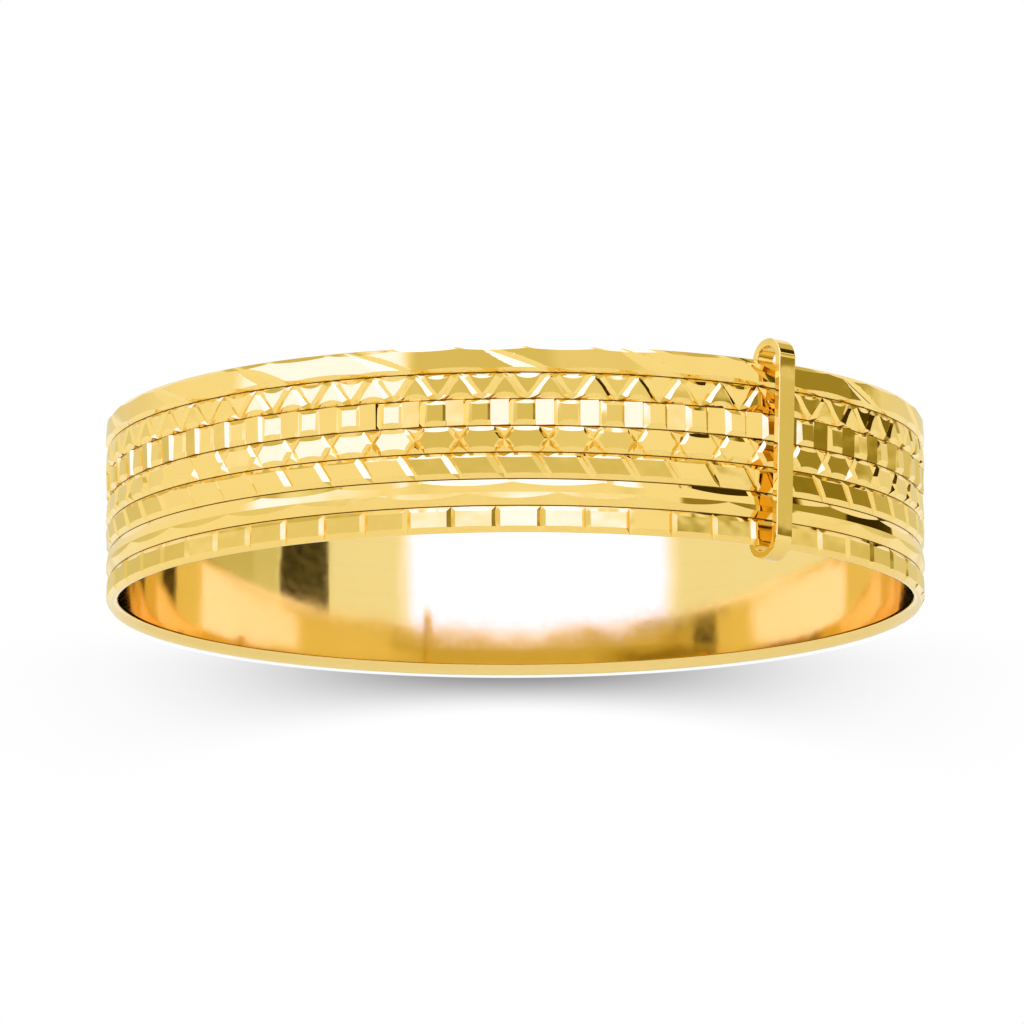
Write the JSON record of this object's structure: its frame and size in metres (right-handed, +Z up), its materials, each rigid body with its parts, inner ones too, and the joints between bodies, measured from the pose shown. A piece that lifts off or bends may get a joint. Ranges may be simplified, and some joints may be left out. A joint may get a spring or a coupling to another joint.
{
  "type": "bangle bracelet set",
  "caption": "Set of slim stacked slip-on bangles in polished yellow gold, each with its own diamond-cut pattern, held together by a loose strip keeper.",
  "frame": {"origin": "on the bangles' common axis, at the keeper's lowest point, which is what the closed set stands on", "axes": "+Z up along the common axis; -Y the front; the keeper is at the front right, 38.5 degrees from -Y towards +X"},
  "size_m": [0.068, 0.068, 0.0184],
  "materials": {
    "polished_gold": "mirror polished, diamond cut",
    "strip_gold": "polished strip with softly rounded edges"
  },
  "bodies": {
    "bangle_4": {"bangle_4": "polished_gold"},
    "keeper": {"keeper": "strip_gold"},
    "bangle_3": {"bangle_3": "polished_gold"},
    "bangle_2": {"bangle_2": "polished_gold"},
    "bangle_1": {"bangle_1": "polished_gold"},
    "bangle_5": {"bangle_5": "polished_gold"},
    "bangle_6": {"bangle_6": "polished_gold"},
    "bangle_7": {"bangle_7": "polished_gold"}
  },
  "joints": [
    {"name": "keeper_travel", "type": "hinge", "parent": "bangle_4", "child": "keeper", "pos_m": [0, 0, 0.00882], "axis": [0, 0, 1], "continuous": true},
    {"name": "fan_3", "type": "hinge", "parent": "keeper", "child": "bangle_3", "pos_m": [0.02099, -0.02639, 0.00992], "axis": [0.7826, 0.6225, 0], "range_deg": [0, 3]},
    {"name": "fan_2", "type": "hinge", "parent": "bangle_3", "child": "bangle_2", "pos_m": [0.02099, -0.02639, 0.01212], "axis": [0.7826, 0.6225, 0], "range_deg": [0, 3]},
    {"name": "fan_1", "type": "hinge", "parent": "bangle_2", "child": "bangle_1", "pos_m": [0.02099, -0.02639, 0.01432], "axis": [0.7826, 0.6225, 0], "range_deg": [0, 3]},
    {"name": "fan_5", "type": "hinge", "parent": "keeper", "child": "bangle_5", "pos_m": [0.02099, -0.02639, 0.00772], "axis": [-0.7826, -0.6225, 0], "range_deg": [0, 3]},
    {"name": "fan_6", "type": "hinge", "parent": "bangle_5", "child": "bangle_6", "pos_m": [0.02099, -0.02639, 0.00552], "axis": [-0.7826, -0.6225, 0], "range_deg": [0, 3]},
    {"name": "fan_7", "type": "hinge", "parent": "bangle_6", "child": "bangle_7", "pos_m": [0.02099, -0.02639, 0.00332], "axis": [-0.7826, -0.6225, 0], "range_deg": [0, 3]}
  ]
}
